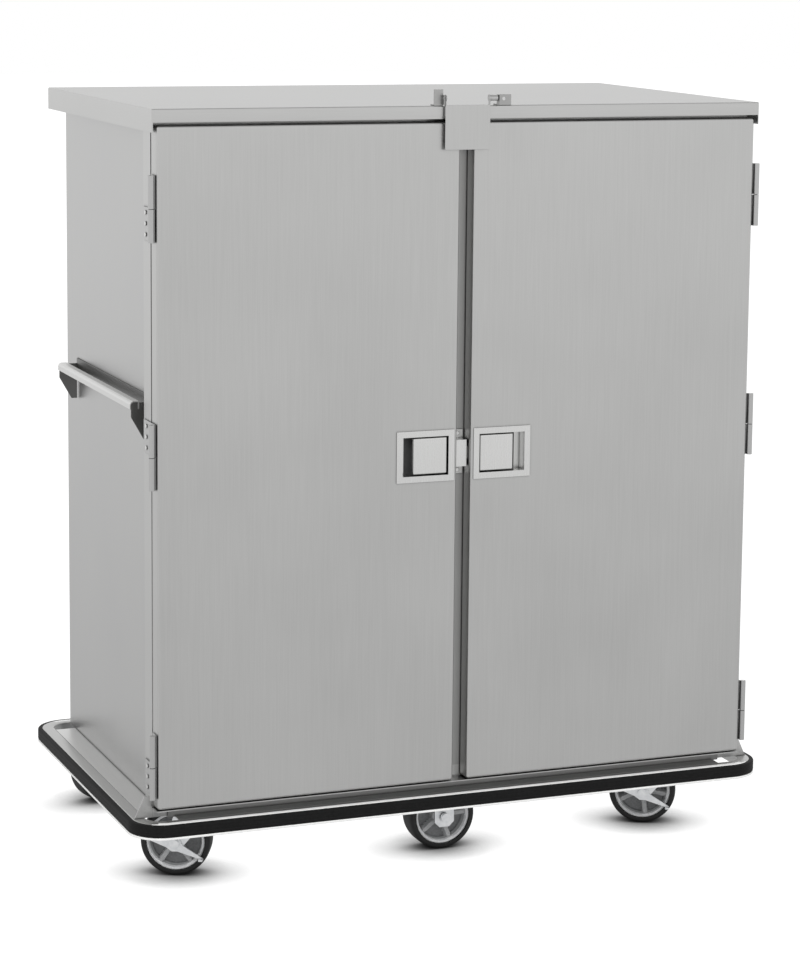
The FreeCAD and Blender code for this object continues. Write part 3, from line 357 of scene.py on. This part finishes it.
def centresOf(item):
    centres = np.empty(len(item.data.polygons) * 3)
    item.data.polygons.foreach_get("center", centres)
    return centres.reshape(-1, 3)


def pickFinish(item, number):  # each face's place in the piece's list of finishes
    item.data.polygons.foreach_set("material_index", np.asarray(number).astype(np.int32))


def foldLine(low, high, radius, inner, steps=5, strip=0.4):
    # where each line of the sheet stands, how far it has turned, and which are the returns' ends
    turn = np.linspace(0, np.pi / 2, steps + 1)
    # a narrow strip beside each fold keeps the face flat
    flat = [low + radius + strip, *inner, high - radius - strip]
    place = np.concatenate([np.full(steps + 2, low + radius), flat,
                            np.full(steps + 2, high - radius)])
    angle = np.concatenate([[-np.pi / 2], -turn[::-1], np.zeros(len(flat)), turn, [np.pi / 2]])
    last = np.zeros(len(place), bool)
    last[[0, -1]] = True
    return place, angle, last


def foldedPan(name, face, low, high, radius, depths, material, *nodes, hole=None, wall=1.5):
    # a flat face whose four sides roll over a radius and run back as returns; a point of the fold
    # is the inner block's corner plus the radius times the way that the sheet faces there
    inside = ([], []) if hole is None else ([hole[0], hole[1]], [hole[2], hole[3]])
    s, turnS, endS = foldLine(low[0], high[0], radius, inside[0])
    t, turnT, endT = foldLine(low[1], high[1], radius, inside[1])
    s, t = s[:, None], t[None, :]
    a, b = turnS[:, None], turnT[None, :]
    u = s + radius * np.sin(a) * np.cos(b)
    v = t + radius * np.sin(b) + 0 * a
    w = radius * (1 - np.cos(a) * np.cos(b))
    w = np.where(endT[None, :], depths[1], w)
    w = np.where(endS[:, None], depths[0], w)
    points = face(u, v, w)
    faces = gridFaces(*u.shape)
    if hole is not None:
        row, column = (len(turnS) - 2) // 2, (len(turnT) - 2) // 2
        keep = np.ones(faces.shape[:2], bool)
        keep[row, column] = False
        faces = faces[keep]
    return addPiece(name, points, faces, material, *nodes, wall=wall, angle=40)


doorFold = {"radius": 5.0, "latchIn": 17.5, "latchWide": 92.5, "latchTall": 74.0,
            "latchMiddle": 796.0, "sheet": 1.5}
paddle = {"radius": 2.6, "lip": 8.0, "pinOver": 3.6}


def makeDoor(side):
    low, high = boxOf("door_shell_" + side)
    sign = 1 if side == "right" else -1
    front, back = low[1], high[1]
    near = (low[0] if sign > 0 else high[0]) + sign * (doorFold["latchIn"] - doorFold["sheet"])
    far = near + sign * (doorFold["latchWide"] + 2 * doorFold["sheet"])
    reach = doorFold["latchTall"] / 2 + doorFold["sheet"]
    hole = (min(near, far), max(near, far), doorFold["latchMiddle"] - reach,
            doorFold["latchMiddle"] + reach)
    foldedPan("doorPan_" + side, lambda u, v, w: np.stack([u, front + w, v], -1),
              (low[0], low[2]), (high[0], high[2]), doorFold["radius"],
              (back - front, back - front), steelUpright, "door_shell_" + side, hole=hole)
    low, high = boxOf("latch_paddle_" + side)
    low[2] += paddle["pinOver"]
    high[2] -= paddle["pinOver"]
    foldedPan("paddle_" + side, lambda u, v, w: np.stack([u, low[1] + w, v], -1),
              (low[0], low[2]), (high[0], high[2]), paddle["radius"], (paddle["lip"],) * 2,
              steelBright, "latch_paddle_" + side)


cover = {"radius": 2.4, "front": 24.5, "side": 42.3}


def makeCover():
    low, high = boxOf("top_cover")
    foldedPan("coverPan", lambda u, v, w: np.stack([u, v, high[2] - w], -1), low[:2], high[:2],
              cover["radius"], (cover["side"], cover["front"]), steelAcross, "top_cover")


wheel = {"steps": 180, "tread": 54.0, "rim": 55.7, "outer": 67.0, "square": 4.2, "flank": 45.0,
         "hub": 18.0, "hubFace": 28.0, "web": 4.0, "spoke": 18.0, "lip": 22.5, "lipIn": 49.0,
         "bore": 6.05, "spokeHalf": 4.6, "spokes": 5, "blend": 1.6, "sectionSteps": 40,
         "hubIn": 8, "hubSteps": 5, "webSteps": 24, "rimSteps": 6, "edge": 0.6, "hubFoot": 0.5,
         "spokeTop": 0.3, "lipFoot": 1.5, "broken": 0.9, "rimBroken": 1.2, "pocketRise": 3}
phaseOf = {"front_middle": 16, "front_right": 28, "rear_left": 40}


def aboutAxle(radius, across, turn, name):
    # the axle's middle, plus the radius round it, plus the distance along it
    joint = jointOf["wheel_spin_" + name]
    middle = np.array(joint["pos_m"]) / mm
    axle = np.array(joint["axis"])
    side = np.cross(axle, (0, 0, 1))
    return (middle + (radius * np.sin(turn))[..., None] * side
            + (radius * np.cos(turn))[..., None] * np.array((0.0, 0, 1))
            + (across + 0 * turn)[..., None] * axle)


def ease(x, start, end):  # a smooth step from 0 at start to 1 at end
    t = np.clip((x - start) / (end - start), 0, 1)
    return t * t * (3 - 2 * t)


def makeWheel(name):
    turn = np.linspace(0, 2 * np.pi, wheel["steps"], endpoint=False)[:, None]
    # a squared oval: the tyre's section
    p = np.linspace(-np.pi / 2, np.pi / 2, wheel["sectionSteps"])
    power = 2 / wheel["square"]
    across = wheel["tread"] / 2 * np.sign(np.sin(p)) * np.abs(np.sin(p)) ** power
    radius = wheel["rim"] + (wheel["outer"] - wheel["rim"]) * np.abs(np.cos(p)) ** power
    radius = np.concatenate([[wheel["rim"]], radius, [wheel["rim"]]])
    across = np.concatenate([[-wheel["flank"] / 2], across, [wheel["flank"] / 2]])
    points = aboutAxle(radius + 0 * turn, across + 0 * turn, turn + 0 * radius, name)
    addPiece("tyre_" + name + "_dressed", points,
             gridFaces(wheel["steps"], len(radius), True, True), tyreRubber, "tyre_" + name,
             angle=60)
    # the core's face over the wheel's disc: a hub, webs, spokes raised from them, and a rim lip
    r = np.concatenate([[wheel["bore"], wheel["bore"] + wheel["edge"]],
                        np.linspace(wheel["hubIn"], wheel["hub"], wheel["hubSteps"]),
                        np.linspace(wheel["hub"] + wheel["hubFoot"], wheel["lipIn"],
                                    wheel["webSteps"]),
                        np.linspace(wheel["lipIn"] + wheel["edge"], wheel["rim"],
                                    wheel["rimSteps"])])
    gap = 2 * np.pi / wheel["spokes"]
    start = math.radians(phaseOf.get(name, 0))
    off = (turn - start + gap / 2) % gap - gap / 2
    beside = np.abs(r * np.sin(off))
    b = wheel["blend"]
    raised = ease(-beside, -wheel["spokeHalf"] - b, -wheel["spokeHalf"] + b * wheel["spokeTop"])
    depth = wheel["web"] + (wheel["spoke"] - wheel["web"]) * raised
    depth = depth + (wheel["lip"] - depth) * ease(r, wheel["lipIn"] - b * wheel["lipFoot"],
                                                  wheel["lipIn"] + b)
    depth = depth + (wheel["hubFace"] - depth) * ease(-r, -wheel["hub"] - b, -wheel["hub"] + b)
    depth = depth - wheel["broken"] * (ease(r, wheel["rim"] - wheel["rimBroken"], wheel["rim"])
                                       + ease(-r, -wheel["bore"] - wheel["edge"], -wheel["bore"]))
    radius = np.concatenate([r, r[::-1]]) + 0 * turn
    across = np.concatenate([depth, -depth[:, ::-1]], 1)
    points = aboutAxle(radius, across, turn + 0 * radius, name)
    item = addPiece("core_" + name + "_dressed", points, gridFaces(*radius.shape, True, True),
                    corePlastic, "wheel_core_" + name, angle=60)
    item.data.materials.append(spokePlastic)
    item.data.materials.append(pocketPlastic)
    joint = jointOf["wheel_spin_" + name]
    centre, axle = centresOf(item) / mm - np.array(joint["pos_m"]) / mm, np.array(joint["axis"])
    beside = np.abs(centre @ axle)
    out = np.sqrt(np.sum(centre ** 2, 1) - beside ** 2)
    # painted shade: faces inside the lip take the darker nylon, and the pockets the darkest
    inside = (out < wheel["lipIn"]) & (out > wheel["hub"])
    pickFinish(item, inside * np.where(beside < wheel["web"] + wheel["pocketRise"], 2, 1))


makeBumper()
makeDoor("left")
makeDoor("right")
makeCover()
print("pans and bumper made")
for wheelName in ("front_left", "front_right", "rear_left", "rear_right", "front_middle",
                  "rear_middle"):
    makeWheel(wheelName)
print("wheels made")

easedEdges = {"side_panel_left": 0.3, "side_panel_right": 0.3, "back_panel": 0.4,
              "front_frame": 0.6, "centre_post": 0.6, "side_decks": 0.6, "end_decks": 0.6,
              "corner_gussets": 0.5, "push_handle_left": 0.7, "push_handle_right": 0.7,
              "hinge_cabinet_leaves": 0.6, "hinge_door_leaves_left": 0.6,
              "hinge_door_leaves_right": 0.6, "screws": 0.9, "latch_strike": 0.8,
              "latch_housing_left": 0.6, "latch_housing_right": 0.6, "latch_bolt_left": 0.8,
              "latch_bolt_right": 0.8, "transport_ears": 0.5, "transport_flap": 1.6,
              "transport_pins": 0.4, "rigid_forks": 0.9, "swivel_plates": 0.6,
              "caster_bolts": 0.5, "swivel_fork_front_left": 0.9, "swivel_fork_front_right": 0.9,
              "swivel_fork_rear_left": 0.9, "swivel_fork_rear_right": 0.9,
              "brake_pedal_front_left": 0.9, "brake_pedal_front_right": 0.9,
              "handle_brackets": 0.6, "hinge_pins": 0.5}
cup = {"lit": 23.0, "near": 25.0, "far": 26.5}


def blackenCup(item, node):
    # painted shade: the cup's back takes the dark coat where shade falls in it, except for a strip of bare steel
    # along its outer wall
    low, high = boxOf(node)
    edge = np.array([-1, 1]) @ np.abs([low[0], high[0]]) > 0
    outer = high[0] - cup["lit"] if edge else low[0] + cup["lit"]
    edit = bmesh.new()
    edit.from_mesh(item.data)
    bmesh.ops.bisect_plane(edit, geom=edit.verts[:] + edit.edges[:] + edit.faces[:],
                           plane_co=(outer * mm, 0, 0), plane_no=(1, 0, 0))
    edit.to_mesh(item.data)
    edit.free()
    item.data.materials.append(darkCoat)
    centre = centresOf(item) / mm
    depth, beside = centre[:, 1] - low[1], np.abs(centre[:, 0]) < abs(outer)
    pickFinish(item, (depth > cup["near"]) & (depth < cup["far"]) & beside)


for node, width in easedEdges.items():
    item = softCopy(node, width)
    if node.startswith("latch_housing"):
        blackenCup(item, node)
print("edges eased")


# lengths here are in metres; strengths are shares of white
studio = {"size": 60, "diffuse": 0.8, "floor": "d8d8d8", "glow": 1.2, "inMetal": 0.67,
          "atWall": 1.0, "reflectedShadeCentre": (0.6, -1.4, 0.0), "darkTo": 0.6, "wallAt": 11.0,
          "ceiling": 0.5, "wallTop": 0.3, "ceilingAt": 0.9, "litShare": 0.1, "contactShadow": 0.1,
          "contactShadowPower": 2.6, "contactShadowRays": 16}


def makeFloor():
    bpy.ops.mesh.primitive_plane_add(size=studio["size"])
    floor = bpy.context.object
    floor.name = "studioFloor"
    material, tree, place = newMaterial("paleStudioFloor")
    ray = addNode(tree, "LightPath")
    # painted shadow: the floor's glow darkens by its occlusion near the wheels, a contact shadow
    near = addNode(tree, "AmbientOcclusion", {"Distance": studio["contactShadow"]},
                   samples=studio["contactShadowRays"])
    dark = addNode(tree, "Math", {0: near.outputs["AO"], 1: studio["contactShadowPower"]},
                   operation="POWER")
    lit = addNode(tree, "BsdfDiffuse", {"Color": hexColour(studio["floor"])})
    # painted shade: as the metal sees it, the floor's glow is darker near the cart and brightens towards the walls
    away = addNode(tree, "VectorMath", {0: place, 1: studio["reflectedShadeCentre"]}, operation="DISTANCE")
    away = addNode(tree, "MapRange", {"Value": away.outputs["Value"],
                                      "From Min": studio["darkTo"],
                                      "From Max": studio["wallAt"], "To Min": studio["inMetal"],
                                      "To Max": studio["atWall"]})
    level = addNode(tree, "MapRange", {"Value": ray.outputs["Is Camera Ray"],
                                       "To Min": away.outputs[0], "To Max": studio["glow"]})
    level = addNode(tree, "Math", {0: level.outputs[0], 1: dark.outputs[0]}, operation="MULTIPLY")
    glow = addNode(tree, "Emission", {"Strength": level.outputs[0]})
    share = addNode(tree, "Math", {0: ray.outputs["Is Camera Ray"],
                                   1: ray.outputs["Is Glossy Ray"]}, operation="MAXIMUM")
    share = addNode(tree, "Math", {0: share.outputs[0], 1: 1 - studio["litShare"]},
                    operation="MULTIPLY")
    mix = addNode(tree, "MixShader", {"Fac": share.outputs[0]})
    tree.links.new(lit.outputs[0], mix.inputs[1])
    tree.links.new(glow.outputs[0], mix.inputs[2])
    tree.links.new(mix.outputs[0], addNode(tree, "OutputMaterial").inputs["Surface"])
    floor.data.materials.append(material)


def makeWorld():
    world = bpy.data.worlds.new("studio")
    bpy.context.scene.world = world
    world.use_nodes = True
    tree = world.node_tree
    tree.nodes.clear()
    ray = addNode(tree, "LightPath")
    seen = addNode(tree, "Math", {0: ray.outputs["Is Camera Ray"],
                                  1: ray.outputs["Is Glossy Ray"]}, operation="MAXIMUM")
    seen = addNode(tree, "Math", {0: seen.outputs[0], 1: ray.outputs["Is Transmission Ray"]},
                   operation="MAXIMUM")
    # the metal sees white walls under a darker ceiling; the lens sees white everywhere
    way = addNode(tree, "SeparateXYZ", {"Vector": addNode(tree, "TexCoord").outputs["Generated"]})
    ceiling = addNode(tree, "MapRange", {"Value": way.outputs["Z"],
                                         "From Min": studio["wallTop"],
                                         "From Max": studio["ceilingAt"], "To Min": 1.0,
                                         "To Max": studio["ceiling"]})
    strength = addNode(tree, "Math", {0: ceiling.outputs[0], 1: ray.outputs["Is Camera Ray"]},
                       operation="MAXIMUM")
    shown = addNode(tree, "Background", {"Color": (1, 1, 1, 1), "Strength": strength.outputs[0]})
    light = addNode(tree, "Background", {"Color": (1, 1, 1, 1), "Strength": studio["diffuse"]})
    mix = addNode(tree, "MixShader", {"Fac": seen.outputs[0]})
    tree.links.new(light.outputs[0], mix.inputs[1])
    tree.links.new(shown.outputs[0], mix.inputs[2])
    tree.links.new(mix.outputs[0], addNode(tree, "OutputWorld").inputs["Surface"])


lamps = {"keyLight": {"place": (-2.6, -3.4, 3.4), "target": (0, 0, 0.9), "size": 2.4,
                      "power": 110.0},
         "fillLight": {"place": (3.4, -2.6, 2.6), "target": (0, 0, 0.8), "size": 2.4,
                       "power": 45.0}}


def softBox(name, place, target, size, power):
    lamp = bpy.data.lights.new(name, "AREA")
    lamp.shape = "RECTANGLE"
    lamp.size = lamp.size_y = size
    lamp.energy = power
    item = bpy.data.objects.new(name, lamp)
    bpy.context.scene.collection.objects.link(item)
    item.visible_glossy = False  # the metal shows the white room, not the lamps
    item.location = place
    item.rotation_euler = (Vector(target) - Vector(place)).to_track_quat("-Z", "Y").to_euler()


view = {"place": (-2.0893, -5.4280, 1.7666), "yaw": 22.45, "dip": 8.43, "roll": 0.72,
        "lens": 108.82, "sensor": 36, "shiftX": -0.067, "shiftY": -0.12, "farthest": 100}


def makeCamera():
    a, b, c = (math.radians(view[key]) for key in ("yaw", "dip", "roll"))
    ahead = np.array([math.sin(a) * math.cos(b), math.cos(a) * math.cos(b), -math.sin(b)])
    right = np.array([math.cos(a), -math.sin(a), 0])
    up = np.cross(right, ahead)
    right, up = (math.cos(c) * right + math.sin(c) * up, -math.sin(c) * right + math.cos(c) * up)
    camera = bpy.data.objects.new("camera", bpy.data.cameras.new("camera"))
    bpy.context.scene.collection.objects.link(camera)
    turn = np.eye(4)
    turn[:3, 0], turn[:3, 1], turn[:3, 2], turn[:3, 3] = right, up, -ahead, view["place"]
    camera.matrix_world = Matrix(turn.tolist())
    camera.data.lens = view["lens"]
    camera.data.sensor_width = view["sensor"]
    camera.data.shift_x, camera.data.shift_y = view["shiftX"], view["shiftY"]
    camera.data.clip_end = view["farthest"]
    bpy.context.scene.camera = camera


makeFloor()
makeWorld()
for lampName, setting in lamps.items():
    softBox(lampName, **setting)
makeCamera()
bpy.context.scene.view_settings.view_transform = "Standard"
print("floor, light and camera made")
